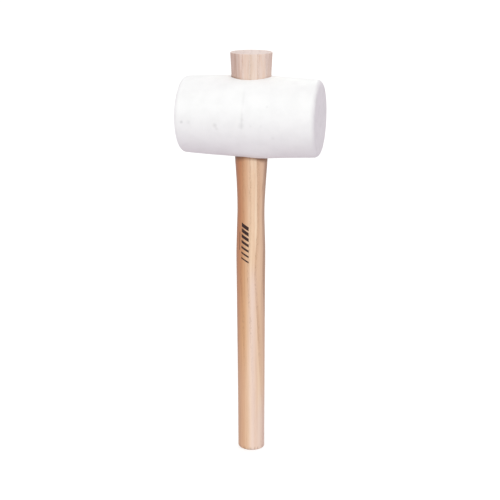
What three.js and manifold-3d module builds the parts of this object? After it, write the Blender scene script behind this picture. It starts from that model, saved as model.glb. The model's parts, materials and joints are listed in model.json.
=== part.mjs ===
// A rubber mallet: a solid white rubber barrel on a turned ash handle.
// Millimetres, +Z up along the handle, the barrel's axis along X, and the
// origin at the centre of the handle's butt.
//
// The handle goes into the tapered eye from above, butt first, and its wide
// upper end jams there. The head comes off again only by sliding down the
// handle, towards the butt.

import * as THREE from "three";
import { mergeVertices } from "three/addons/utils/BufferGeometryUtils.js";
import Module from "manifold-3d";

// ---------------------------------------------------------------- driving dimensions

const TOTAL_LENGTH = 390; // butt to the top of the handle
const HEAD_AXIS_HEIGHT = 331; // butt to the barrel's axis

const HEAD_LENGTH = 130; // one striking face to the other
const HEAD_DIAMETER = 75; // at the middle of the barrel
const HEAD_BULGE = 2.15; // the middle is this much proud of the ends, on the radius
const FACE_EDGE_RADIUS = 5; // rounding between the barrel and a striking face

// The rubber rises softly in front of the eye and behind it, and the rise is
// higher on top, where the wide end of the handle leaves the head.
const UPPER_RISE = 3;
const LOWER_RISE = 1.8;
const RISE_SPREAD = THREE.MathUtils.degToRad(56); // round the barrel, from straight up or down
const RISE_REACH = 34; // along the barrel, each way from the handle

// The grip's outline: height above the butt and diameter.
const GRIP_STATIONS = [
  [0, 25.7], // butt
  [55, 26.1],
  [110, 26.6],
  [165, 27.1], // top of the straight grip
  [199, 27.6], // swell that stops the hand
  [220, 26.7],
  [243, 25.6], // neck
  [265, 27],
  [290, 30.2], // foot of the taper
];
const TAPER_TOP = { height: 371, diameter: 36.7 }; // where the handle leaves the head
const FLARE_TOP = { height: 389.5, diameter: 38.6 }; // widest place, above the head
const TOP_FACE_DIAMETER = 37.8; // inside the small chamfer of the rim
const BUTT_CHAMFER = 1.2;

const EYE_GAP = 0.3; // rubber to wood, all round the taper

const HANDLE_SIDES = 44;
const GRIP_STEPS = 20;
const BARREL_SIDES = 60;
const BARREL_STEPS = 20;
const EDGE_STEPS = 4;

// ---------------------------------------------------------------- materials

const ash = new THREE.MeshStandardMaterial({
  name: "ash_wood",
  color: 0xe3c09c,
  roughness: 0.45,
  metalness: 0,
});
const whiteRubber = new THREE.MeshStandardMaterial({
  name: "white_rubber",
  color: 0xf3f1f2,
  roughness: 0.6,
  metalness: 0,
});

// ---------------------------------------------------------------- helpers

// Turns an outline of (radius, height) points about the Z axis.
function turned(outline, sides) {
  const geometry = new THREE.LatheGeometry(outline, sides);
  geometry.rotateX(Math.PI / 2);
  return geometry;
}

// Keeps only position and merges shared vertices, which makes a closed mesh.
function welded(geometry) {
  const bare = geometry.clone();
  bare.deleteAttribute("normal");
  bare.deleteAttribute("uv");
  return mergeVertices(bare, 1e-4);
}

function toSolid(wasm, geometry) {
  const closed = welded(geometry);
  return new wasm.Manifold(
    new wasm.Mesh({
      numProp: 3,
      vertProperties: new Float32Array(closed.attributes.position.array),
      triVerts: new Uint32Array(closed.index.array),
    }),
  );
}

function toGeometry(solid) {
  const mesh = solid.getMesh();
  const geometry = new THREE.BufferGeometry();
  geometry.setAttribute("position", new THREE.BufferAttribute(mesh.vertProperties, 3));
  geometry.setIndex(new THREE.BufferAttribute(mesh.triVerts, 1));
  geometry.computeVertexNormals();
  return geometry;
}

// ---------------------------------------------------------------- handle

const [taperFootHeight, taperFootDiameter] = GRIP_STATIONS.at(-1);

// Radius of the handle's straight taper, carried on past its ends.
function taperRadius(height) {
  const share = (height - taperFootHeight) / (TAPER_TOP.height - taperFootHeight);
  return THREE.MathUtils.lerp(taperFootDiameter, TAPER_TOP.diameter, share) / 2;
}

function handleGeometry() {
  const stations = GRIP_STATIONS.map(([height, diameter]) => new THREE.Vector2(diameter / 2, height));
  const grip = new THREE.SplineCurve(stations).getPoints(GRIP_STEPS);
  const butt = grip.shift();
  const outline = [
    new THREE.Vector2(0, 0),
    new THREE.Vector2(butt.x - BUTT_CHAMFER, 0),
    new THREE.Vector2(butt.x, BUTT_CHAMFER),
    ...grip,
    new THREE.Vector2(TAPER_TOP.diameter / 2, TAPER_TOP.height),
    new THREE.Vector2(FLARE_TOP.diameter / 2, FLARE_TOP.height),
    new THREE.Vector2(TOP_FACE_DIAMETER / 2, TOTAL_LENGTH),
    new THREE.Vector2(0, TOTAL_LENGTH),
  ];
  return welded(turned(outline, HANDLE_SIDES));
}

// ---------------------------------------------------------------- head

// Outline of the barrel along its own axis, from one face centre to the other.
function barrelOutline() {
  const halfLength = HEAD_LENGTH / 2;
  const midRadius = HEAD_DIAMETER / 2;
  const straightHalf = halfLength - FACE_EDGE_RADIUS;
  const radiusAt = (along) => midRadius - HEAD_BULGE * (along / halfLength) ** 2;
  const edgeCentre = radiusAt(straightHalf) - FACE_EDGE_RADIUS;
  const upperHalf = [];
  for (let i = 1; i <= BARREL_STEPS / 2; i++) {
    const along = (straightHalf * i) / (BARREL_STEPS / 2);
    upperHalf.push(new THREE.Vector2(radiusAt(along), along));
  }
  for (let i = 1; i <= EDGE_STEPS; i++) {
    const turn = (Math.PI / 2) * (i / EDGE_STEPS);
    const radius = edgeCentre + FACE_EDGE_RADIUS * Math.cos(turn);
    const along = straightHalf + FACE_EDGE_RADIUS * Math.sin(turn);
    upperHalf.push(new THREE.Vector2(radius, along));
  }
  upperHalf.push(new THREE.Vector2(0, halfLength));
  const lowerHalf = upperHalf.map((p) => new THREE.Vector2(p.x, -p.y)).reverse();
  return [...lowerHalf, new THREE.Vector2(midRadius, 0), ...upperHalf];
}

// How far the rubber rises round the eye, at a place along the barrel and at
// an angle round it from straight up.
function eyeRise(along, angle) {
  const fromTop = Math.abs(angle);
  const fromBottom = Math.PI - fromTop;
  const around = (spread) =>
    spread < RISE_SPREAD ? Math.sin((Math.PI * spread) / RISE_SPREAD) ** 2 : 0;
  const reach =
    Math.abs(along) < RISE_REACH ? Math.cos((Math.PI * along) / (2 * RISE_REACH)) ** 2 : 0;
  return reach * (UPPER_RISE * around(fromTop) + LOWER_RISE * around(fromBottom));
}

function barrelGeometry() {
  const barrel = new THREE.LatheGeometry(barrelOutline(), BARREL_SIDES);
  barrel.rotateZ(-Math.PI / 2);
  const places = barrel.attributes.position;
  for (let i = 0; i < places.count; i++) {
    const [x, y, z] = [places.getX(i), places.getY(i), places.getZ(i)];
    const radius = Math.hypot(y, z);
    if (radius === 0) continue;
    const grown = (radius + eyeRise(x, Math.atan2(y, z))) / radius;
    places.setXYZ(i, x, y * grown, z * grown);
  }
  barrel.translate(0, 0, HEAD_AXIS_HEIGHT);
  return barrel;
}

// The eye's own taper, long enough to pass through both sides of the barrel.
function eyeGeometry() {
  const low = HEAD_AXIS_HEIGHT - HEAD_DIAMETER;
  const high = HEAD_AXIS_HEIGHT + HEAD_DIAMETER;
  const outline = [
    new THREE.Vector2(0, low),
    new THREE.Vector2(taperRadius(low) + EYE_GAP, low),
    new THREE.Vector2(taperRadius(high) + EYE_GAP, high),
    new THREE.Vector2(0, high),
  ];
  return turned(outline, HANDLE_SIDES);
}

async function headGeometry() {
  const wasm = await Module();
  wasm.setup();
  const barrel = toSolid(wasm, barrelGeometry());
  const eye = toSolid(wasm, eyeGeometry());
  return toGeometry(barrel.subtract(eye));
}

// ---------------------------------------------------------------- assembly

const handle = new THREE.Mesh(handleGeometry(), ash);
handle.name = "handle";

const head = new THREE.Mesh(await headGeometry(), whiteRubber);
head.name = "rubber_head";

const mallet = new THREE.Group();
mallet.add(handle, head);

export default mallet;
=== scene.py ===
"""Looks of a rubber mallet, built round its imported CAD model.

Metres, +Z up along the handle, the barrel along X, and the front towards -Y.
"""

import json
import math

import bpy
import numpy as np
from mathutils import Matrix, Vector, noise


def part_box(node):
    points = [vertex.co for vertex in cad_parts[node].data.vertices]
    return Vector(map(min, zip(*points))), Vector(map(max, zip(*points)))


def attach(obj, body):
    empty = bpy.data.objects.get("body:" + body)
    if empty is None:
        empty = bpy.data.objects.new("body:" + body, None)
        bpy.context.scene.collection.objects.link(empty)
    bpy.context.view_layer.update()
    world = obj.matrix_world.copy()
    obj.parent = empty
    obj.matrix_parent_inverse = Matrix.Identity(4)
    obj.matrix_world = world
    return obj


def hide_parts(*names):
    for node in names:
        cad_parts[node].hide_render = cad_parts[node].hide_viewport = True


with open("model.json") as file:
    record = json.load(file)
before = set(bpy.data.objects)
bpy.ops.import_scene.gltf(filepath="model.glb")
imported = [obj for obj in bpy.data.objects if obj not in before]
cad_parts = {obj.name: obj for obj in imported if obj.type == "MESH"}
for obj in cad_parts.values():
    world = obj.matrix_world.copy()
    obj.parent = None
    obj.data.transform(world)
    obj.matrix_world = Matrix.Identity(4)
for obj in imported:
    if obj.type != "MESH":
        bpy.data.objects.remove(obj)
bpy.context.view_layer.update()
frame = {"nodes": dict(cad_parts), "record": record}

MM = 0.001

# ------------------------------------------------------------------ sizes
# Those that the frame holds come from it, and the rest repeat the CAD model's or are finer than it.

mounts = {mount["name"]: Vector(mount["pos_m"]) for mount in frame["record"]["mounts"]}
AXIS_HEIGHT = mounts["striking_face_right"].z
HALF_LENGTH = mounts["striking_face_right"].x
TOTAL_HEIGHT = mounts["handle_top"].z
MID_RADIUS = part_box("rubber_head")[1].y

BULGE = 2.15 * MM  # the barrel's middle is this much proud of its ends
FACE_EDGE = 5.0 * MM  # rounding between the barrel and a striking face
UPPER_RISE = 3.0 * MM  # soft rise of the rubber, in front of the eye and behind it
LOWER_RISE = 1.8 * MM
LOWER_RISE_SHIFT = 9.0 * MM  # the lower rise sits to one side of the eye
RISE_SPREAD = math.radians(56)
RISE_REACH = 34.0 * MM
EYE_EDGE = 0.8 * MM  # rounding of the eye's mouth
EYE_GAP = 0.12 * MM  # rubber to wood, where the rubber grips
SEAM_HEIGHT = 0.07 * MM  # raised line that the mould left round the barrel's middle
SEAM_WIDTH = 0.8 * MM

RIM_ROUND = 0.25 * MM  # softened corners of the handle's upper end
BUTT_ROUND = 1.8 * MM  # hand-sanded edge of the butt, larger on one side
BUTT_ROUND_SPREAD = 0.7 * MM
BUTT_ROUND_SIDE = math.radians(-140)
BOW = 0.5 * MM  # the handle isn't quite straight: between the butt and the head it strays towards -X
BOW_RISE = (30 * MM, 200 * MM)  # heights between which it does so
BOW_FALL = (225 * MM, 285 * MM)  # and comes back

# ------------------------------------------------------------------ small helpers


def smooth_bump(share):
    """0 at 0 and 1, and 1 halfway, with level ends."""
    return np.where((share > 0) & (share < 1), np.sin(np.pi * np.clip(share, 0, 1)) ** 2, 0.0)


def smooth_step(value, low, high):
    """0 below low, 1 above high, and a smooth rise between."""
    share = np.clip((value - low) / (high - low), 0, 1)
    return share * share * (3 - 2 * share)


def shape_noise(points, size, seed):
    """A smooth random value in about -1..1 for each point, with lumps about size across."""
    shift = Vector((seed, -seed, 0.5 * seed))
    return np.array([noise.noise(Vector(p) / size + shift) for p in points])


def make_piece(name, vertices, faces, material, body, slot, node):
    """A smooth-shaded mesh that replaces one CAD node and rides on that node's body."""
    mesh = bpy.data.meshes.new(name)
    mesh.from_pydata([tuple(v) for v in vertices], [], faces)
    mesh.shade_smooth()
    mesh.materials.append(material)
    piece = bpy.data.objects.new(name, mesh)
    bpy.context.scene.collection.objects.link(piece)
    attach(piece, body)
    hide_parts(node)
    return piece


# ------------------------------------------------------------------ outline of the handle


def cad_rings(node):
    """(height, radius) of each ring of a turned CAD node, from the lowest up."""
    widest = {}
    for vertex in frame["nodes"][node].data.vertices:
        height = round(vertex.co.z, 5)
        widest[height] = max(widest.get(height, 0.0), math.hypot(vertex.co.x, vertex.co.y))
    return sorted(widest.items())


_, *OUTLINE_RINGS, TOP_FACE = cad_rings("handle")
TAPER_FOOT, TAPER_TOP, FLARE_TOP = OUTLINE_RINGS[-3:]
TAPER_SLOPE = (TAPER_TOP[1] - TAPER_FOOT[1]) / (TAPER_TOP[0] - TAPER_FOOT[0])


def taper_radius(height):
    """Radius of the straight taper that fills the eye, carried on past its ends."""
    return TAPER_FOOT[1] + TAPER_SLOPE * (height - TAPER_FOOT[0])


def handle_radius(heights):
    """Radius of the wood at each height: a smooth curve through the CAD rings, straight on the taper."""
    places, radii = np.array(OUTLINE_RINGS).T
    slopes = np.gradient(radii, places)
    slopes[-3:-1] = TAPER_SLOPE
    at = np.clip(np.searchsorted(places, heights) - 1, 0, len(places) - 2)
    span = places[at + 1] - places[at]
    t = np.clip((heights - places[at]) / span, 0, 1)
    start = (2 * t**3 - 3 * t**2 + 1) * radii[at] + (t**3 - 2 * t**2 + t) * span * slopes[at]
    end = (3 * t**2 - 2 * t**3) * radii[at + 1] + (t**3 - t**2) * span * slopes[at + 1]
    return start + end


# ------------------------------------------------------------------ handle mesh

HANDLE_SIDES = 128
HANDLE_RINGS = 340
CORNER_RINGS = 6
CAP_RINGS = 18
WAVER = 0.06 * MM  # how far the turned surface strays from round
WAVER_SIZE = 16 * MM
WAVER_SQUEEZE = (1, 1, 0.25)  # makes the waver longer along the handle
END_MARGIN = 3 * MM  # no waver so close to an end
SAWN_WAVER = 0.05 * MM  # unevenness of the sawn upper end
SAWN_SIZE = 9 * MM
SAWN_SQUEEZE = (1, 4, 1)  # the saw ran along X
TOUCH = 0.01 * MM


def rounded_corner(below, corner, above, reach):
    """Points of a rounded corner of an outline, starting and ending reach away from the corner."""
    start = corner + (below - corner).normalized() * reach
    end = corner + (above - corner).normalized() * reach
    shares = np.linspace(0, 1, CORNER_RINGS)
    return [start * (1 - t) ** 2 + corner * 2 * t * (1 - t) + end * t**2 for t in shares]


def handle_outline(angle):
    """(radius, height) points at one angle round the handle, from the butt's face to the upper face."""
    size = BUTT_ROUND + BUTT_ROUND_SPREAD * math.cos(angle - BUTT_ROUND_SIDE)
    butt_radius = float(handle_radius(np.array([size]))[0])
    outline = []
    for turn in np.linspace(-math.pi / 2, 0, 2 * CORNER_RINGS):
        outline.append((butt_radius - size * (1 - math.cos(turn)), size * (1 + math.sin(turn))))
    body_end = FLARE_TOP[0] - RIM_ROUND
    heights = np.linspace(size, body_end, HANDLE_RINGS)[1:-1]
    outline += list(zip(handle_radius(heights), heights))
    below = Vector((float(handle_radius(np.array([body_end]))[0]), body_end))
    corner = Vector((FLARE_TOP[1], FLARE_TOP[0]))
    lip = Vector((TOP_FACE[1], TOP_FACE[0]))
    rim = rounded_corner(below, corner, lip, RIM_ROUND)
    rim += rounded_corner(corner, lip, Vector((0, lip.y)), RIM_ROUND)
    return outline + [tuple(point) for point in rim]


def handle_mesh():
    """Vertices and faces of the turned handle, closed by a level butt and a sawn upper face."""
    angles = np.linspace(0, 2 * np.pi, HANDLE_SIDES, endpoint=False)
    outlines = np.array([handle_outline(a) for a in angles])
    radii, heights = outlines[:, :, 0], outlines[:, :, 1]
    around = np.stack([np.cos(angles), np.sin(angles), np.ones(HANDLE_SIDES)], 1)
    side = [around * np.stack([r, r, h], 1) for r, h in zip(radii.T, heights.T)]
    shrink = np.linspace(1, 0, CAP_RINGS + 1)[1:-1]
    caps = [[ring * [s, s, 1] for s in shrink] for ring in (side[0], side[-1])]
    rings = [*reversed(caps[0]), *side, *caps[1]]
    points = np.concatenate(rings)

    outward = points[:, :2] / np.linalg.norm(points[:, :2], axis=1, keepdims=True)
    height = points[:, 2]
    on_side = (height > END_MARGIN) & (height < TOTAL_HEIGHT - END_MARGIN)
    waver = WAVER * shape_noise(points * WAVER_SQUEEZE, WAVER_SIZE, seed=3.7) * on_side
    points[:, :2] += outward * waver[:, None]
    points[:, 0] -= BOW * smooth_step(height, *BOW_RISE) * (1 - smooth_step(height, *BOW_FALL))
    on_top = height > TOTAL_HEIGHT - TOUCH
    points[:, 2] -= on_top * SAWN_WAVER * (1 + shape_noise(points * SAWN_SQUEEZE, SAWN_SIZE, seed=5.2))

    faces = []
    for i in range(len(rings) - 1):
        for k in range(HANDLE_SIDES):
            a, b = i * HANDLE_SIDES + k, i * HANDLE_SIDES + (k + 1) % HANDLE_SIDES
            faces.append((a, b, b + HANDLE_SIDES, a + HANDLE_SIDES))
    low, high = len(points), len(points) + 1
    last = (len(rings) - 1) * HANDLE_SIDES
    for k in range(HANDLE_SIDES):
        after = (k + 1) % HANDLE_SIDES
        faces.append((low, after, k))
        faces.append((high, last + k, last + after))
    return np.concatenate([points, [[0, 0, 0], [0, 0, TOTAL_HEIGHT - SAWN_WAVER]]]), faces


# ------------------------------------------------------------------ head mesh

ANGLE_STEP = 2  # degrees round the barrel
PATCH_ANGLE = 54  # degrees each way from straight up or down that the rings round an eye cover
PATCH_REACH = 30 * MM
PATCH_RINGS = 26
PATCH_CROWDING = 1.7  # more than 1 crowds the rings towards the eye
WALL_ROWS = 30
EDGE_RINGS = 10  # round the edge of a striking face
FACE_RINGS = 15  # from that edge to the middle of the face
MOUTH_SEARCH = 25  # steps that close in on where the skin meets the eye's wall
LUMPS = [(0.10 * MM, 21 * MM), (0.03 * MM, 5 * MM)]  # depth and size of the rubber's unevenness
LUMPS_FROM_AXIS = 28 * MM  # it fades in from this distance, and so stays off the faces' middles
LUMPS_FROM_EYE = 2 * MM
LUMPS_FADE = 4 * MM


def barrel_stations():
    """Places along half of the barrel, close together at the seam and spread evenly beyond it."""
    near = np.array([0, 0.18, 0.36, 0.56, 0.8, 1.15, 1.6, 2.2, 3.0, 4.0, 5.2]) * MM
    middle = np.linspace(near[-1], PATCH_REACH, 18)[1:]
    outer = np.linspace(PATCH_REACH, HALF_LENGTH - FACE_EDGE, 20)[1:]
    return np.concatenate([near, middle, outer])


def barrel_radius(along):
    return MID_RADIUS - BULGE * (along / HALF_LENGTH) ** 2


def eye_rise(along, spread, height):
    """How far the rubber rises at an angle from straight up or down, for a rise of that height."""
    reach = np.where(np.abs(along) < RISE_REACH, np.cos(np.pi * along / (2 * RISE_REACH)) ** 2, 0.0)
    return height * reach * smooth_bump(np.abs(spread) / RISE_SPREAD)


def skin_radius(along, angle):
    """How far the rubber's surface is from the barrel's axis. Angles run from straight up to the front."""
    turn = np.abs((angle + np.pi) % (2 * np.pi) - np.pi)
    upper_rise = eye_rise(along, turn, UPPER_RISE)
    lower_rise = eye_rise(along - LOWER_RISE_SHIFT, np.pi - turn, LOWER_RISE)
    seam = SEAM_HEIGHT * np.exp(-((along / SEAM_WIDTH) ** 2))
    return barrel_radius(along) + upper_rise + lower_rise + seam


def skin_point(along, angle):
    radius = skin_radius(along, angle)
    return np.stack([along, -radius * np.sin(angle), AXIS_HEIGHT + radius * np.cos(angle)], -1)


class HeadMesh:
    """The head's vertices and faces.

    A grid goes round the barrel, rings go round each mouth of the eye, and rows go down the eye's wall.
    """

    def __init__(self):
        self.points = []
        self.faces = []

    def add(self, points):
        first = len(self.points)
        self.points.extend(np.asarray(points).reshape(-1, 3))
        return list(range(first, len(self.points)))

    def bridge(self, ring_a, ring_b):
        """Quads from one closed ring of vertices to the next."""
        count = len(ring_a)
        for k in range(count):
            after = (k + 1) % count
            self.faces.append((ring_a[k], ring_a[after], ring_b[after], ring_b[k]))

    def barrel(self):
        """The grid round the barrel with its two ends, open where the rings round the eye go."""
        half = barrel_stations()
        self.stations = np.concatenate([-half[:0:-1], half])
        angles = np.radians(np.arange(0, 360, ANGLE_STEP))
        count = len(angles)
        span = PATCH_ANGLE // ANGLE_STEP
        covered = np.abs(self.stations) <= PATCH_REACH + 1e-9
        self.grid = [self.add(skin_point(np.full(count, x), angles)) for x in self.stations]
        self.reach = np.flatnonzero(covered)
        for i in range(len(self.stations) - 1):
            for k in range(count):
                above = min(k, count - 1 - k) < span
                below = abs(k + 0.5 - count / 2) < span
                if covered[i] and covered[i + 1] and (above or below):
                    continue
                after = (k + 1) % count
                here, beyond = self.grid[i], self.grid[i + 1]
                self.faces.append((here[k], here[after], beyond[after], beyond[k]))
        self.end(self.grid[0], angles, -1)
        self.end(self.grid[-1], angles, 1)

    def end(self, ring, angles, side):
        """Rounded edge and level striking face at one end of the barrel."""
        straight = HALF_LENGTH - FACE_EDGE
        centre = barrel_radius(straight) - FACE_EDGE
        outline = []
        for turn in np.radians(np.linspace(0, 90, EDGE_RINGS + 1)[1:]):
            outline.append((straight + FACE_EDGE * math.sin(turn), centre + FACE_EDGE * math.cos(turn)))
        outline += [(HALF_LENGTH, centre * share) for share in np.linspace(1, 0, FACE_RINGS + 1)[1:-1]]
        for along, radius in outline:
            across, up = -radius * np.sin(angles), AXIS_HEIGHT + radius * np.cos(angles)
            following = self.add(np.stack([np.full(len(angles), side * along), across, up], 1))
            self.bridge(*((ring, following) if side > 0 else (following, ring)))
            ring = following
        tip = self.add([(side * HALF_LENGTH, 0, AXIS_HEIGHT)])[0]
        for k in range(len(ring)):
            after = (k + 1) % len(ring)
            self.faces.append((ring[k], ring[after], tip) if side > 0 else (ring[after], ring[k], tip))

    def border(self, up):
        """Vertices round the opening for one mouth of the eye.

        With them comes each one's place along the barrel and its angle from that mouth's middle.
        """
        span = PATCH_ANGLE // ANGLE_STEP
        first, last = self.reach[0], self.reach[-1]
        walk = [(i, -span) for i in self.reach]
        walk += [(last, step) for step in range(1 - span, span + 1)]
        walk += [(i, span) for i in reversed(self.reach[:-1])]
        walk += [(first, step) for step in range(span - 1, -span, -1)]
        count = len(self.grid[0])
        ring = [self.grid[i][step % count if up else (count // 2 - step) % count] for i, step in walk]
        spots = np.array([(self.stations[i], math.radians(ANGLE_STEP * step)) for i, step in walk])
        return ring, spots

    def mouth(self, up):
        """Rings from an opening's border in to the eye, the last of them rounded down into it."""
        ring, spots = self.border(up)
        outer_along, outer_turn = spots.T
        heading = np.arctan2(outer_turn / math.radians(PATCH_ANGLE), outer_along / PATCH_REACH)
        sign = 1 if up else -1
        eye_along, eye_turn = outer_along / 2, outer_turn / 2
        for _ in range(MOUTH_SEARCH):
            radius = skin_radius(eye_along, eye_turn if up else np.pi - eye_turn)
            wall = taper_radius(AXIS_HEIGHT + sign * (radius * np.cos(eye_turn) - EYE_EDGE)) + EYE_GAP
            eye_along = wall * np.cos(heading)
            eye_turn = np.arcsin(wall * np.sin(heading) / radius)
        for share in np.linspace(1, 0, PATCH_RINGS + 1)[1:] ** PATCH_CROWDING:
            along = eye_along + share * (outer_along - eye_along)
            turn = eye_turn + share * (outer_turn - eye_turn)
            points = skin_point(along, turn if up else np.pi - turn)
            to_wall = np.clip(EYE_EDGE - (np.hypot(points[:, 0], points[:, 1]) - wall), 0, EYE_EDGE)
            points[:, 2] -= sign * (EYE_EDGE - np.sqrt(EYE_EDGE**2 - to_wall**2))
            following = self.add(points)
            self.bridge(*((following, ring) if up else (ring, following)))
            ring = following
        return ring

    def wall(self, upper, lower):
        """The eye's tapered wall, from the upper mouth's last ring to the lower one's."""
        top, bottom = np.array(self.points)[upper], np.array(self.points)[lower]
        heading = top[:, :2] / np.linalg.norm(top[:, :2], axis=1, keepdims=True)
        ring = upper
        for share in np.linspace(0, 1, WALL_ROWS + 1)[1:-1]:
            height = top[:, 2] + share * (bottom[:, 2] - top[:, 2])
            radius = taper_radius(height) + EYE_GAP
            following = self.add(np.concatenate([heading * radius[:, None], height[:, None]], 1))
            self.bridge(following, ring)
            ring = following
        self.bridge(lower, ring)

    def used_only(self):
        """Points and faces without the grid vertices that lie in the openings, which no face uses."""
        used = sorted({v for face in self.faces for v in face})
        place = {v: i for i, v in enumerate(used)}
        return np.array(self.points)[used], [tuple(place[v] for v in face) for face in self.faces]


def head_mesh():
    """Vertices and faces of the barrel, its skin slightly uneven as moulded rubber is."""
    mesh = HeadMesh()
    mesh.barrel()
    mesh.wall(mesh.mouth(True), mesh.mouth(False))
    points, faces = mesh.used_only()
    outward = (points - [0, 0, AXIS_HEIGHT]) * [0, 1, 1]
    radius = np.linalg.norm(outward, axis=1)
    outward /= np.maximum(radius, MM)[:, None]
    from_eye = np.hypot(points[:, 0], points[:, 1]) - taper_radius(points[:, 2])
    share = np.clip((radius - LUMPS_FROM_AXIS) / LUMPS_FADE, 0, 1)
    share *= np.clip((from_eye - LUMPS_FROM_EYE) / LUMPS_FADE, 0, 1)
    for depth, size in LUMPS:
        points = points + outward * (depth * share * shape_noise(points, size, seed=8.3))[:, None]
    return points, faces


# ------------------------------------------------------------------ node helper


def srgb(red, green, blue):
    """A colour as seen on a screen, 0..255, as the linear colour that Blender works in."""
    linear = [((v / 255 + 0.055) / 1.055) ** 2.4 for v in (red, green, blue)]
    return (*linear, 1.0)


class Shader:
    """One material, node by node: each call adds a node and gives back its output.

    Lengths are in millimetres. A ramp is a tuple for ease: from, to, and the result at each, 0 and 1 if
    they are left out.
    """

    def __init__(self, name):
        self.material = bpy.data.materials.new(name)
        self.material.use_nodes = True
        self.tree = self.material.node_tree
        self.surface = self.tree.nodes["Principled BSDF"]
        scaled = [(0, self.node("ShaderNodeTexCoord").outputs["Object"]), (3, 1 / MM)]
        self.place = self.node("ShaderNodeVectorMath", scaled, operation="SCALE").outputs[0]
        self.x, self.y, self.z = self.split(self.place)

    def node(self, kind, inputs=(), **settings):
        made = self.tree.nodes.new(kind)
        for key, value in settings.items():
            setattr(made, key, value)
        for socket, value in inputs:
            self.feed(made.inputs[socket], value)
        return made

    def feed(self, socket, value):
        if isinstance(value, bpy.types.NodeSocket):
            self.tree.links.new(value, socket)
        else:
            socket.default_value = value

    def finish(self, colour, roughness, relief, depth, strength):
        """Sets the surface, with relief as a bump that many millimetres deep."""
        bump = [("Height", relief), ("Distance", depth * MM), ("Strength", strength)]
        self.feed(self.surface.inputs["Base Color"], colour)
        self.feed(self.surface.inputs["Roughness"], roughness)
        self.feed(self.surface.inputs["Normal"], self.node("ShaderNodeBump", bump).outputs[0])
        return self.material

    def math(self, operation, *values):
        return self.node("ShaderNodeMath", enumerate(values), operation=operation).outputs[0]

    def add(self, first, second):
        return self.math("ADD", first, second)

    def times(self, first, second):
        return self.math("MULTIPLY", first, second)

    def ease(self, value, low, high, start=0.0, end=1.0):
        """start below low, end above high, and a smooth step between."""
        inputs = [("Value", value), ("From Min", low), ("From Max", high)]
        inputs += [("To Min", start), ("To Max", end)]
        return self.node("ShaderNodeMapRange", inputs, interpolation_type="SMOOTHSTEP").outputs[0]

    def hump(self, value, middle, reach):
        """1 at the middle, falling smoothly to 0 at reach to either side."""
        off = self.math("ABSOLUTE", self.add(value, -middle))
        return self.ease(off, 0.0, reach, 1.0, 0.0)

    def mix(self, share, first, second):
        inputs = [("Factor", share), (6, first), (7, second)]
        return self.node("ShaderNodeMix", inputs, data_type="RGBA").outputs[2]

    def tint(self, share, colour, by):
        """Multiplies the colour, so that the grain in it stays."""
        inputs = [("Factor", share), (6, colour), (7, by)]
        return self.node("ShaderNodeMix", inputs, data_type="RGBA", blend_type="MULTIPLY").outputs[2]

    def swing(self, value, reach):
        """Turns 0..1 noise into a swing of that many millimetres in all, half to each side."""
        return self.times(self.add(value, -0.5), reach)

    def length(self, first, second):
        return self.math("SQRT", self.add(self.times(first, first), self.times(second, second)))

    def split(self, vector):
        return self.node("ShaderNodeSeparateXYZ", [(0, vector)]).outputs

    def noise(self, across, along, seed, detail=2.0):
        """0..1 noise with lumps that are across wide in X and Y and along long in Z."""
        scale = (1 / across, 1 / across, 1 / along)
        moved = [("Vector", self.place), ("Scale", scale), ("Location", (seed,) * 3)]
        at = self.node("ShaderNodeMapping", moved).outputs[0]
        inputs = [("Vector", at), ("Scale", 1.0), ("Detail", detail)]
        return self.node("ShaderNodeTexNoise", inputs).outputs["Fac"]


# ------------------------------------------------------------------ ash

WOOD_PALE = srgb(251, 222, 193)
WOOD_TAN = srgb(230, 187, 153)
WOOD_EARLY = srgb(203, 158, 122)  # the porous early wood of each ring
WOOD_PORE = srgb(142, 100, 70)
WOOD_PAINTED_SHEEN = srgb(241, 218, 213)  # painted highlight, a paler strip down the front of the grip
WOOD_RAW = srgb(240, 224, 219)  # sawn and sanded, without varnish
WOOD_END = srgb(228, 210, 206)
# Painted shade where the wood meets the rubber, and also the dirt round the butt.
WOOD_DIRT_AND_SHADE = srgb(134, 94, 66)
INK = srgb(44, 12, 2)

# Tints: how much of the wood's colour they leave.
HEART_TINT = (0.61, 0.38, 0.27, 1.0)  # darker heartwood along the -X side
WARM_TINT = (0.98, 0.91, 0.75, 1.0)  # warmer strip along the heartwood's edge
EDGE_SHADE_TINT = (0.50, 0.42, 0.37, 1.0)  # painted shade, greyish, towards the edges, the most on the +X side

# Growth rings.
PITH_DISTANCE = 110.0  # from the handle's axis to the tree's centre
OUTWARDS = math.radians(13.2)  # the way the tree grew, away from its centre
YEAR_WIDTH = 7.1
YEAR_START = -0.9
GRAIN_BOW = 2.4  # the grain swings sideways by this much near the swell
GRAIN_BOW_HEIGHT = 183.0
GRAIN_BOW_REACH = 55.0
GRAIN_LEAN = (30.0, 150.0, -3.4, 0.0)  # and leans outwards towards the butt
GRAIN_WANDER = 2.5
GRAIN_FRAY = 0.8
EARLY_RISE = (0.0, 0.06)  # each ring starts sharply with early wood, which then fades into late wood
EARLY_FALL = (0.1, 0.5, 1.0, 0.0)
EARLY_HEIGHT = (70.0, 140.0, 0.2, 1.0)
EARLY_GROWTH = (2.0, 5.0, 0.2, 0.37)  # the outer rings show more

# Ramps by noise.
TAN_BANDS = (0.42, 0.7, 0.0, 0.5)
DARK_STREAKS = (0.5, 0.78, 0.0, 0.3)
FINE_FIBRES = (0.45, 0.75, 0.0, 0.25)
PORE_CELLS = (0.58, 0.66)
BARE_STREAKS = (0.4, 0.7, 0.3, 0.55)  # what the bare wood keeps of the grain
BUTT_WEAR = (0.4, 0.65)
INK_WEAR = (0.28, 0.5, 0.8, 1.0)

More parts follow.
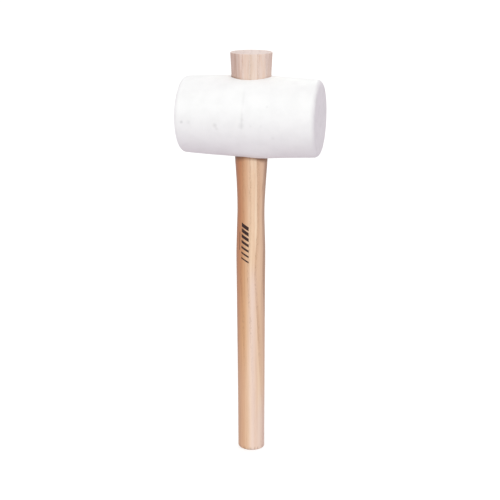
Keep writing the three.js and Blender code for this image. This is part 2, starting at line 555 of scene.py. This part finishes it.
# Ramps by growth, in millimetres outwards from the handle's axis, and by height.
OUTER_TAN = (5.5, 7.0, 0.0, 0.6)
OUTER_TAN_HEIGHT = (30.0, 140.0, 0.5, 1.0)
INNER_TAN = (-2.5, 1.5, 0.45, 0.0)
HEART_GROWTH = (-12.5, 3.0, 1.0, 0.0)
HEART_HEIGHT = (60.0, 250.0, 0.52, 1.0)
WARM_MIDDLE, WARM_REACH = -7.8, 8.0
WARM_FOOT = (60.0, 130.0, 0.2, 1.0)
WARM_TOP = (205.0, 240.0, 1.0, 0.7)
# Painted highlight: a paler strip down the grip's front, and a wider one near the butt.
SHEEN_MIDDLE, SHEEN_REACH = 2.2, 6.0
SHEEN_HEIGHT = (165.0, 200.0, 0.55, 0.0)
BUTT_SHEEN_GROWTH = (1.0, 5.0)
BUTT_SHEEN_HEIGHT = (25.0, 75.0, 0.42, 0.0)
TO_BACK = (-2.0, 11.0, 1.0, 0.45)  # by Y: all these stripes are fainter on the back

# Painted shade towards the handle's edges, by how squarely the surface faces outwards, and a faint
# darkening down the bare end's middle.
EDGE_SHADE_FACING = (0.7, 0.92)
EDGE_SHADE_HEIGHT = (90.0, 250.0, 0.1, 0.7)
EDGE_SHADE_ON_BARE = (0.0, 1.0, 1.0, 0.3)
INNER_EDGE_SHADE = (-0.95, -0.72, 0.22, 0.0)
BARE_INNER_EDGE_SHADE = (-0.72, -0.48, 0.32, 0.0)
BARE_MIDDLE, BARE_MIDDLE_REACH, BARE_MIDDLE_SHARE = -0.03, 0.32, 0.15

RAW_HEIGHT = (352.0, 362.0)  # varnished below it and bare above: hidden in the eye
TOP_FACE_HEIGHT = (389.7, 389.85)
BUTT_FACE_HEIGHT = (0.05, 0.2, 1.0, 0.0)
END_SHARE = 0.75

# Painted shade on the wood where the handle enters the rubber, and dirt round the butt.
CONTACT_SHADE_REACH = (0.3, 0.8, 3.4, 6.0)  # it spreads further at the sides
CONTACT_SHADE_MIDDLE = 1.5
CONTACT_SHADE_FROM_MIDDLE = (2.0, 10.0, 0.65, 1.0)
CONTACT_SHADE_INTO_EYE = (-1.6, -0.3)
# Painted shade in the groove above the head, stronger towards -X.
SHADE_ABOVE_HEAD_HEIGHT = (0.2, 1.8, 0.4, 0.0)  # thinner above the head
SHADE_ABOVE_HEAD_ALONG = (-16.0, 2.0, 1.0, 0.1)
BUTT_GRIME = (0.5, 5.0, 0.5, 0.0)
BUTT_FACE_GRIME = (0.1, 0.6, 0.3, 1.0)

INK_FACING = math.radians(-103.5)
INK_RADIUS = 13.6
INK_HALF_WIDTH = 3.8
INK_FOOT = 195.0
INK_PITCH = 5.2
INK_BARS = 7
INK_SLANT = 0.55
INK_SOFTNESS = 0.3
BAR_THICKNESS = (0.34, 0.78)  # share of the pitch, at the lowest bar and at the highest
BAR_SOFTNESS = 0.02  # share of the pitch
BAR_FOOT_SOFTNESS = 0.05
RULE_OFFSET = 6.0
RULE_HALF_WIDTH = 0.25
RULE_FOOT = 205.0
RULE_TOP = 222.5

VARNISH_GLOSS = (0.5, 1.0, 0.34, 0.5)
RAW_ROUGHER = 0.3
INK_ROUGHER = 0.08


def growth_rings(s):
    """Growth: millimetres outwards through the tree from the handle's axis.

    Given back as it is, along the bowed grain, and as the place within a ring, from 0 to 1.
    """
    bow = s.times(s.hump(s.z, GRAIN_BOW_HEIGHT, GRAIN_BOW_REACH), GRAIN_BOW)
    wander = s.swing(s.noise(55, 95, 4.2, 1.0), GRAIN_WANDER)
    fray = s.swing(s.noise(1.5, 30, 9.1), GRAIN_FRAY)
    from_x = s.add(s.x, PITH_DISTANCE * math.cos(OUTWARDS))
    from_y = s.add(s.y, PITH_DISTANCE * math.sin(OUTWARDS))
    growth = s.add(s.add(s.length(from_x, from_y), -PITH_DISTANCE), s.add(wander, fray))
    bowed = s.add(growth, s.add(bow, s.ease(s.z, *GRAIN_LEAN)))
    return growth, bowed, s.math("FRACT", s.times(s.add(bowed, -YEAR_START), 1 / YEAR_WIDTH))


def facing_outwards(s):
    """How squarely the surface faces the way the tree grew: 1 straight that way, -1 straight against it."""
    across = s.add(s.times(s.x, math.cos(OUTWARDS)), s.times(s.y, math.sin(OUTWARDS)))
    return s.math("DIVIDE", across, s.add(s.length(s.x, s.y), 0.01))


def above_rubber(s):
    """Distance of the wood from the rubber's skin, away from the barrel's axis: 0 where the two meet."""
    up = s.add(s.z, -AXIS_HEIGHT / MM)
    spread = s.math("ARCTAN2", s.math("ABSOLUTE", s.y), s.math("ABSOLUTE", up))
    bump = s.math("SINE", s.times(spread, math.pi / RISE_SPREAD))
    along = s.add(s.x, s.ease(up, -1.0, 1.0, -LOWER_RISE_SHIFT / MM, 0.0))
    reach = s.math("COSINE", s.times(along, math.pi * MM / (2 * RISE_REACH)))
    height = s.ease(up, -1.0, 1.0, LOWER_RISE / MM, UPPER_RISE / MM)
    shape = s.times(bump, reach)
    rise = s.times(s.times(shape, shape), height)
    return s.add(s.add(s.length(s.y, up), -MID_RADIUS / MM), s.times(rise, -1.0))


def ink_bars(s, wear):
    """Share of ink: a plain ladder of slanted bars, thinner towards the grip, and a thin rule beside it."""
    half_soft = INK_SOFTNESS / 2
    across = s.times(s.add(s.math("ARCTAN2", s.y, s.x), -INK_FACING), INK_RADIUS)
    from_middle = s.math("ABSOLUTE", across)
    inside = s.ease(from_middle, INK_HALF_WIDTH - half_soft, INK_HALF_WIDTH + half_soft, 1.0, 0.0)
    bars = s.times(s.add(s.add(s.z, -INK_FOOT), s.times(across, INK_SLANT)), 1 / INK_PITCH)
    inside = s.times(inside, s.ease(bars, 0.0, BAR_SOFTNESS))
    inside = s.times(inside, s.ease(bars, INK_BARS - BAR_SOFTNESS, INK_BARS, 1.0, 0.0))
    step = s.math("FRACT", bars)
    to_edge = s.add(s.ease(bars, 0.0, INK_BARS, *BAR_THICKNESS), s.times(step, -1.0))
    bar = s.times(s.ease(to_edge, -BAR_SOFTNESS, 2 * BAR_SOFTNESS), s.ease(step, 0.0, BAR_FOOT_SOFTNESS))
    from_rule = s.math("ABSOLUTE", s.add(across, RULE_OFFSET))
    rule = s.ease(from_rule, RULE_HALF_WIDTH, RULE_HALF_WIDTH + half_soft, 1.0, 0.0)
    rule = s.times(rule, s.ease(s.z, RULE_FOOT, RULE_FOOT + INK_SOFTNESS))
    rule = s.times(rule, s.ease(s.z, RULE_TOP, RULE_TOP + INK_SOFTNESS, 1.0, 0.0))
    return s.times(s.math("MAXIMUM", s.times(inside, bar), rule), s.ease(wear, *INK_WEAR))


def painted_edge_shade(s, facing, streak, raw):
    """Share of painted shade: a ragged band towards the +X edge, a fainter one at the -X edge, and a faint
    darkening down the bare end's middle.
    """
    ragged = s.add(facing, s.swing(streak, 0.35))
    outer = s.times(s.ease(ragged, *EDGE_SHADE_FACING), s.ease(s.z, *EDGE_SHADE_HEIGHT))
    outer = s.times(outer, s.ease(raw, *EDGE_SHADE_ON_BARE))
    varnished = s.times(s.ease(facing, *INNER_EDGE_SHADE), s.ease(raw, 0.0, 1.0, 1.0, 0.0))
    bare = s.times(s.hump(facing, BARE_MIDDLE, BARE_MIDDLE_REACH), BARE_MIDDLE_SHARE)
    bare = s.times(s.add(s.ease(facing, *BARE_INNER_EDGE_SHADE), bare), raw)
    return s.add(s.add(outer, varnished), bare)


def contact_shade(s, facing, raw):
    """Share of painted shade on the wood where the rubber's edges touch it: under the head and in the
    groove above it.
    """
    above = above_rubber(s)
    reach = s.ease(s.math("ABSOLUTE", facing), *CONTACT_SHADE_REACH)
    below_head = s.ease(s.math("DIVIDE", above, reach), 0.0, 1.0, 1.0, 0.0)
    from_middle = s.math("ABSOLUTE", s.add(s.x, -CONTACT_SHADE_MIDDLE))
    below_head = s.times(below_head, s.ease(from_middle, *CONTACT_SHADE_FROM_MIDDLE))
    above_head = s.times(s.ease(above, *SHADE_ABOVE_HEAD_HEIGHT), s.ease(s.x, *SHADE_ABOVE_HEAD_ALONG))
    shade_share = s.math("MULTIPLY_ADD", raw, s.add(above_head, s.times(below_head, -1.0)), below_head)
    return s.times(shade_share, s.ease(above, *CONTACT_SHADE_INTO_EYE))


def ash_wood():
    """Varnished ash with growth rings, open pores and long fibres, left bare above the head, with a painted
    highlight down its front and painted shade at its edges and where it meets the rubber.
    """
    s = Shader("ash_wood")
    growth, bowed, within = growth_rings(s)
    facing = facing_outwards(s)
    band = s.noise(4.6, 170, 6.1, 1.0)
    streak = s.noise(1.1, 55, 6.6)
    fibre = s.noise(0.32, 20, 1.3, 3.0)
    cells = s.noise(0.2, 3.0, 7.7, 1.0)
    wear = s.noise(2.2, 6.0, 2.4, 3.0)
    raw = s.ease(s.z, *RAW_HEIGHT)
    back = s.ease(s.y, *TO_BACK)
    end = s.add(s.ease(s.z, *TOP_FACE_HEIGHT), s.ease(s.z, *BUTT_FACE_HEIGHT))
    early = s.times(s.ease(within, *EARLY_RISE), s.ease(within, *EARLY_FALL))
    early = s.times(early, s.math("MAXIMUM", s.ease(s.z, *EARLY_HEIGHT), end))
    pores = s.times(s.ease(cells, *PORE_CELLS), s.add(s.times(early, 0.9), 0.08))

    colour = s.mix(s.ease(band, *TAN_BANDS), WOOD_PALE, WOOD_TAN)
    outer = s.times(s.ease(bowed, *OUTER_TAN), s.ease(s.z, *OUTER_TAN_HEIGHT))
    colour = s.mix(s.add(outer, s.ease(growth, *INNER_TAN)), colour, WOOD_TAN)
    colour = s.mix(s.times(early, s.ease(bowed, *EARLY_GROWTH)), colour, WOOD_EARLY)
    colour = s.mix(s.ease(streak, *DARK_STREAKS), colour, WOOD_EARLY)
    colour = s.mix(s.ease(fibre, *FINE_FIBRES), colour, WOOD_EARLY)

    heart = s.ease(s.add(growth, s.swing(streak, 2.0)), *HEART_GROWTH)
    heart = s.times(heart, s.ease(s.z, *HEART_HEIGHT))
    colour = s.tint(s.times(heart, back), colour, HEART_TINT)
    warm = s.times(s.ease(s.z, *WARM_FOOT), s.ease(s.z, *WARM_TOP))
    warm = s.times(warm, s.hump(growth, WARM_MIDDLE, WARM_REACH))
    colour = s.tint(s.times(warm, back), colour, WARM_TINT)
    # Painted highlight down the grip's front, fainter on the back.
    light = s.times(s.hump(growth, SHEEN_MIDDLE, SHEEN_REACH), s.ease(s.z, *SHEEN_HEIGHT))
    butt_sheen = s.times(s.ease(growth, *BUTT_SHEEN_GROWTH), s.ease(s.z, *BUTT_SHEEN_HEIGHT))
    light = s.math("MAXIMUM", light, butt_sheen)
    colour = s.mix(s.times(light, back), colour, WOOD_PAINTED_SHEEN)

    bare = s.mix(s.ease(streak, *BARE_STREAKS), WOOD_RAW, colour)
    colour = s.mix(raw, colour, bare)
    # Painted shade towards the handle's edges.
    edge_shade = painted_edge_shade(s, facing, streak, raw)
    colour = s.tint(s.times(edge_shade, back), colour, EDGE_SHADE_TINT)
    colour = s.mix(s.times(end, END_SHARE), colour, WOOD_END)
    colour = s.mix(s.times(pores, s.ease(raw, 0.0, 1.0, 0.55, 0.35)), colour, WOOD_PORE)

    # Painted shade where the wood meets the rubber.
    colour = s.mix(contact_shade(s, facing, raw), colour, WOOD_DIRT_AND_SHADE)
    butt = s.times(s.ease(s.z, *BUTT_GRIME), s.ease(wear, *BUTT_WEAR))
    colour = s.mix(s.times(butt, s.ease(s.z, *BUTT_FACE_GRIME)), colour, WOOD_DIRT_AND_SHADE)
    ink = ink_bars(s, wear)
    colour = s.mix(ink, colour, INK)

    varnish = s.ease(s.add(fibre, s.times(wear, 0.5)), *VARNISH_GLOSS)
    roughness = s.add(varnish, s.add(s.times(raw, RAW_ROUGHER), s.times(ink, INK_ROUGHER)))
    relief = s.add(s.times(fibre, 0.4), s.times(pores, -1.0))
    return s.finish(colour, roughness, relief, depth=0.06, strength=0.6)


# ------------------------------------------------------------------ rubber

RUBBER_CLEAN = srgb(246, 244, 246)
RUBBER_DULL = srgb(242, 240, 242)
# For smudges and scuffs, and also for painted shade along the mould line.
RUBBER_SMUDGE_AND_SHADE = srgb(186, 184, 186)
# Painted shade, warmed by painted reflection of the wood, round the eye's lower mouth.
RUBBER_WARM_SHADE = srgb(196, 176, 160)

DULL_MOTTLE = (0.35, 0.68, 0.0, 0.8)
FACE_FROM = (63.2, 64.9)  # along the barrel, either way
FACE_SCUFFS = (0.45, 0.75, 0.0, 0.16)
SEAM_MIDDLE, SEAM_REACH = -0.1, 2.0
SEAM_SHADE = (0.35, 0.6, 0.048, 0.12)
SEAM_HEIGHTS = (322.0, 328.0)  # the mould line's painted shade ends at the barrel's lower half
SEAM_TO_BACK = (-34.0, -24.0, 1.0, 0.2)
WARM_SHADE_REACH = (0.0, 12.0, 0.16, 0.0)  # round the lower mouth of the eye
WARM_SHADE_HEIGHT = (300.0, 310.0, 1.0, 0.0)
RUBBER_GLOSS = (0.2, 0.8, 0.5, 0.64)
SMUDGES = [  # place along the barrel, angle from straight up to the front, size, depth
    (-56.8, 92.6, 2.4, 0.4),
    (-50.2, 92.3, 3.0, 0.16),
    (-25.2, 95.2, 3.2, 0.3),
    (-23.8, 100.0, 2.8, 0.2),
    (-0.6, 94.3, 4.6, 0.2),
    (0.2, 86.0, 3.0, 0.12),
    (8.0, 94.3, 1.8, 0.1),
    (17.0, 94.0, 1.8, 0.1),
    (22.1, 66.8, 1.8, 0.12),
    (27.8, 111.3, 2.4, 0.12),
    (41.0, 238.0, 3.0, 0.22),
    (-18.0, 262.0, 2.2, 0.2),
]
SMUDGE_RAGGED = 1.2


def white_rubber():
    """Matte white moulded rubber: faintly mottled, scuffed on its faces, with painted shade along the mould
    line and round the eye's lower mouth.
    """
    s = Shader("white_rubber")
    mottle = s.noise(11, 11, 3.3, 4.0)
    grain = s.noise(0.7, 0.7, 5.1, 3.0)
    scuff = s.noise(3.0, 1.1, 8.4, 3.0)
    colour = s.mix(s.ease(mottle, *DULL_MOTTLE), RUBBER_CLEAN, RUBBER_DULL)
    on_face = s.ease(s.math("ABSOLUTE", s.x), *FACE_FROM)
    worn = s.ease(s.noise(6.0, 6.0, 1.7, 4.0), *FACE_SCUFFS)
    colour = s.mix(s.times(on_face, worn), colour, RUBBER_SMUDGE_AND_SHADE)
    # Painted shade along the raised mould line, faded towards the back.
    seam = s.times(s.hump(s.x, SEAM_MIDDLE, SEAM_REACH), s.ease(mottle, *SEAM_SHADE))
    seam = s.times(seam, s.times(s.ease(s.z, *SEAM_HEIGHTS), s.ease(s.y, *SEAM_TO_BACK)))
    colour = s.mix(seam, colour, RUBBER_SMUDGE_AND_SHADE)
    # Painted shade and painted reflection of the wood's warmth, round the eye's lower mouth.
    from_wood = s.add(s.length(s.x, s.y), -TAPER_FOOT[1] / MM)
    warm_shade = s.times(s.ease(from_wood, *WARM_SHADE_REACH), s.ease(s.z, *WARM_SHADE_HEIGHT))
    colour = s.mix(warm_shade, colour, RUBBER_WARM_SHADE)
    ragged = s.swing(scuff, SMUDGE_RAGGED)
    for along, angle, size, depth in SMUDGES:
        centre = skin_point(along * MM, math.radians(angle)) / MM
        ends = [(0, s.place), (1, tuple(centre))]
        distance = s.node("ShaderNodeVectorMath", ends, operation="DISTANCE").outputs[1]
        colour = s.mix(s.ease(s.add(distance, ragged), 0.0, size, depth, 0.0), colour, RUBBER_SMUDGE_AND_SHADE)
    roughness = s.ease(s.add(mottle, s.times(on_face, 0.2)), *RUBBER_GLOSS)
    return s.finish(colour, roughness, s.add(grain, s.times(scuff, 0.5)), depth=0.04, strength=0.5)


# ------------------------------------------------------------------ pieces

make_piece("turned_handle", *handle_mesh(), ash_wood(), "handle", "ash_wood", "handle")
make_piece("moulded_head", *head_mesh(), white_rubber(), "head", "white_rubber", "rubber_head")

# ------------------------------------------------------------------ stage, light and camera

SURROUND = 0.68  # brightness of the light from all round
SURROUND_TINT = (1.0, 0.935, 0.99)
KEY_ELEVATION = math.radians(35)  # a broad light above the camera, square to the barrel
KEY_SPREAD = math.radians(60)
KEY_STRENGTH = 1.4
KEY_TINT = (0.86, 1.0, 0.87)
BACK_ELEVATION = math.radians(38)
BACK_SPREAD = math.radians(25)
BACK_STRENGTH = 0.65
FLOOR_HALF = 12.0
FLOOR_COLOUR = 0.5
FLOOR_GLOW = 0.6  # the floor is lit from within, so that shadows on it stay faint
DOME_SIDES = 48
DOME_ROWS = 12

CAMERA_PLACE = (0.2509, -1.0720, 0.5133)
CAMERA_AZIMUTH = math.radians(13.24)
CAMERA_PITCH = math.radians(15.765)
CAMERA_LENS = 86.4
CAMERA_SENSOR = 36.0


def place_object(name, data, location, rotation):
    made = bpy.data.objects.new(name, data)
    made.location = location
    made.rotation_euler = rotation
    bpy.context.scene.collection.objects.link(made)
    return made


def make_world():
    world = bpy.data.worlds.new("studio")
    world.use_nodes = True
    bpy.context.scene.world = world
    background = world.node_tree.nodes["Background"]
    background.inputs["Color"].default_value = (*SURROUND_TINT, 1.0)
    background.inputs["Strength"].default_value = SURROUND


def stage_object(name, vertices, faces, colour, glow):
    """A pale surface that only the camera sees, so that it sends no light and blocks none."""
    mesh = bpy.data.meshes.new(name)
    mesh.from_pydata(vertices, [], faces)
    material = bpy.data.materials.new(f"{name}_pale")
    material.use_nodes = True
    surface = material.node_tree.nodes["Principled BSDF"]
    surface.inputs["Base Color"].default_value = (colour, colour, colour, 1.0)
    surface.inputs["Roughness"].default_value = 1.0
    surface.inputs["Specular IOR Level"].default_value = 0.0
    surface.inputs["Emission Color"].default_value = (1.0, 1.0, 1.0, 1.0)
    surface.inputs["Emission Strength"].default_value = glow
    mesh.materials.append(material)
    made = place_object(name, mesh, (0, 0, 0), (0, 0, 0))
    made.visible_diffuse = False
    made.visible_glossy = False
    made.visible_shadow = False


def make_floor():
    corners = [(-1, -1), (1, -1), (1, 1), (-1, 1)]
    vertices = [(x * FLOOR_HALF, y * FLOOR_HALF, 0) for x, y in corners]
    stage_object("floor", vertices, [(0, 1, 2, 3)], FLOOR_COLOUR, FLOOR_GLOW)


def make_dome():
    """A white dome that stands on the floor and closes the view above it."""
    vertices = []
    for row in range(DOME_ROWS):
        rise = 0.5 * math.pi * row / DOME_ROWS
        across, height = FLOOR_HALF * math.cos(rise), FLOOR_HALF * math.sin(rise)
        for side in range(DOME_SIDES):
            turn = 2 * math.pi * side / DOME_SIDES
            vertices.append((across * math.cos(turn), across * math.sin(turn), height))
    faces = []
    for row in range(DOME_ROWS - 1):
        for side in range(DOME_SIDES):
            after = (side + 1) % DOME_SIDES
            low, high = row * DOME_SIDES, (row + 1) * DOME_SIDES
            faces.append((low + side, high + side, high + after, low + after))
    faces.append(tuple(reversed(range((DOME_ROWS - 1) * DOME_SIDES, DOME_ROWS * DOME_SIDES))))
    stage_object("dome", vertices, faces, colour=0.0, glow=1.0)


def make_light(name, azimuth, elevation, spread, strength, tint):
    """A distant light softened by its spread. Azimuth 0 is the camera's side of the mallet."""
    light = bpy.data.lights.new(name, "SUN")
    light.angle = spread
    light.energy = strength
    light.color = tint
    place_object(name, light, (0, 0, 1), (math.pi / 2 - elevation, 0, azimuth))


def make_camera():
    data = bpy.data.cameras.new("camera")
    data.sensor_width = CAMERA_SENSOR
    data.lens = CAMERA_LENS
    tilt = (math.pi / 2 - CAMERA_PITCH, 0, CAMERA_AZIMUTH)
    bpy.context.scene.camera = place_object("camera", data, CAMERA_PLACE, tilt)


make_world()
make_floor()
make_dome()
make_light("key", 0, KEY_ELEVATION, KEY_SPREAD, KEY_STRENGTH, KEY_TINT)
make_light("back", math.pi, BACK_ELEVATION, BACK_SPREAD, BACK_STRENGTH, KEY_TINT)
make_camera()
bpy.context.scene.view_settings.view_transform = "Standard"
